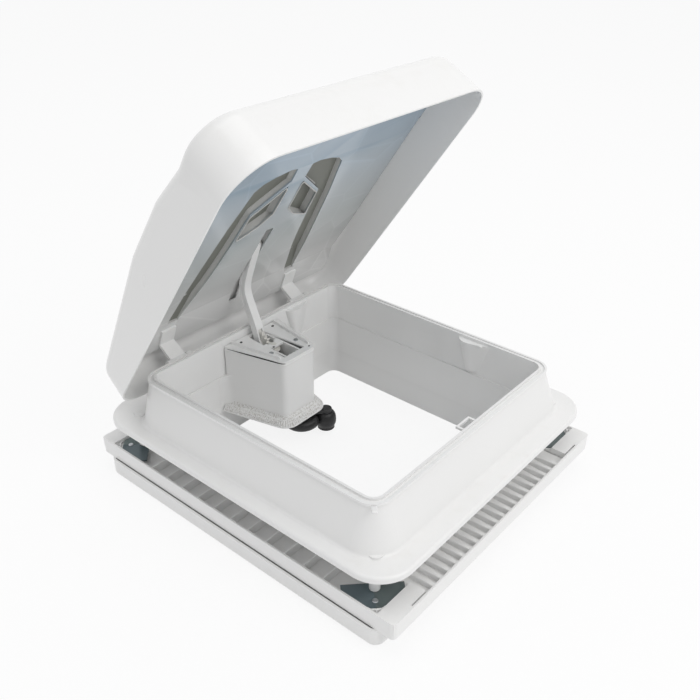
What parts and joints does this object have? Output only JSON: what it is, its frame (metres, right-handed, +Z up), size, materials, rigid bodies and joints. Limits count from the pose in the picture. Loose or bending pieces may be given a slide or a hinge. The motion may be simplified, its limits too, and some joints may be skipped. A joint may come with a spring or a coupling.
{
  "type": "caravan_roof_vent",
  "caption": "White plastic caravan roof vent with a domed hinged lid, a crank-driven lifting arm and a clamped ceiling frame, shown open",
  "frame": {"origin": "centre of the four fixing holes, at the upper face of the corner clamp plates", "axes": "+Z up through the roof, +Y towards the lid's hinge, +X to the right when the hinge is at the back"},
  "size_m": [0.457, 0.51, 0.533],
  "materials": {
    "white_plastic": "moulded white plastic with a soft gloss",
    "liner_plastic": "pale blue-grey plastic, polished",
    "plate_steel": "dark slate coated sheet",
    "black_plastic": "black, slightly rough",
    "gear_plastic": "off-white bearing plastic",
    "steel": "plain bright steel"
  },
  "bodies": {
    "frame": {"outer_frame": "white_plastic", "hinge_pin_left": "steel", "hinge_pin_right": "steel", "ceiling_tray": "white_plastic", "bezel": "white_plastic", "clamp_plate_front_left": "plate_steel", "clamp_plate_back_left": "plate_steel", "clamp_plate_front_right": "plate_steel", "clamp_plate_back_right": "plate_steel", "spacer_sleeve_front_left": "white_plastic", "spacer_sleeve_back_left": "white_plastic", "spacer_sleeve_front_right": "white_plastic", "spacer_sleeve_back_right": "white_plastic", "clamp_screw_front_left": "steel", "clamp_screw_back_left": "steel", "clamp_screw_front_right": "steel", "clamp_screw_back_right": "steel", "gearbox_housing": "white_plastic", "gearbox_cover": "white_plastic", "cover_screws": "steel", "gearbox_base": "white_plastic", "gearbox_underplate": "white_plastic", "worm_bush_lower": "gear_plastic", "worm_bush_upper": "gear_plastic", "crank_bush": "gear_plastic", "arm_pivot_pin": "steel"},
    "lid": {"lid_shell": "white_plastic", "lid_liner": "liner_plastic", "hinge_leaf_left": "white_plastic", "hinge_leaf_right": "white_plastic", "slide_rail": "white_plastic"},
    "lift": {"lifting_arm": "white_plastic", "worm_wheel": "gear_plastic", "roller_pin": "steel"},
    "roller_left": {"arm_roller_left": "gear_plastic"},
    "roller_right": {"arm_roller_right": "gear_plastic"},
    "worm": {"worm_shaft": "gear_plastic", "worm_spur_gear": "gear_plastic"},
    "crank": {"crank_shaft": "steel", "crank_spur_gear": "gear_plastic", "crank_arm": "black_plastic", "crank_screw": "steel"},
    "knob": {"crank_knob": "black_plastic"}
  },
  "joints": [
    {"name": "lid_hinge", "type": "hinge", "parent": "frame", "child": "lid", "pos_m": [0, 0.201, 0.102], "axis": [-1, 0, 0], "range_deg": [-55.3, 4.7]},
    {"name": "arm_pivot", "type": "hinge", "parent": "frame", "child": "lift", "pos_m": [0, 0.166, 0.09], "axis": [-1, 0, 0], "range_deg": [-65.1, 5.7]},
    {"name": "roller_left_spin", "type": "hinge", "parent": "lift", "child": "roller_left", "pos_m": [-0.0087, 0.16568, 0.24409], "axis": [1, 0, 0], "continuous": true},
    {"name": "roller_right_spin", "type": "hinge", "parent": "lift", "child": "roller_right", "pos_m": [0.0087, 0.16568, 0.24409], "axis": [1, 0, 0], "continuous": true},
    {"name": "worm_turn", "type": "hinge", "parent": "frame", "child": "worm", "pos_m": [0, 0.1385, 0.06], "axis": [0, 0, -1], "range_deg": [-1301, 112]},
    {"name": "crank_turn", "type": "hinge", "parent": "frame", "child": "crank", "pos_m": [0, 0.107, 0.005], "axis": [0, 0, 1], "range_deg": [-1301, 112]},
    {"name": "knob_spin", "type": "hinge", "parent": "crank", "child": "knob", "pos_m": [0.037, 0.072, -0.02], "axis": [0, 0, 1], "continuous": true}
  ],
  "couplings": [
    {"joint": "arm_pivot", "follows": "lid_hinge", "ratio": 1.175},
    {"joint": "worm_turn", "follows": "lid_hinge", "ratio": 23.5},
    {"joint": "crank_turn", "follows": "lid_hinge", "ratio": 23.5}
  ]
}
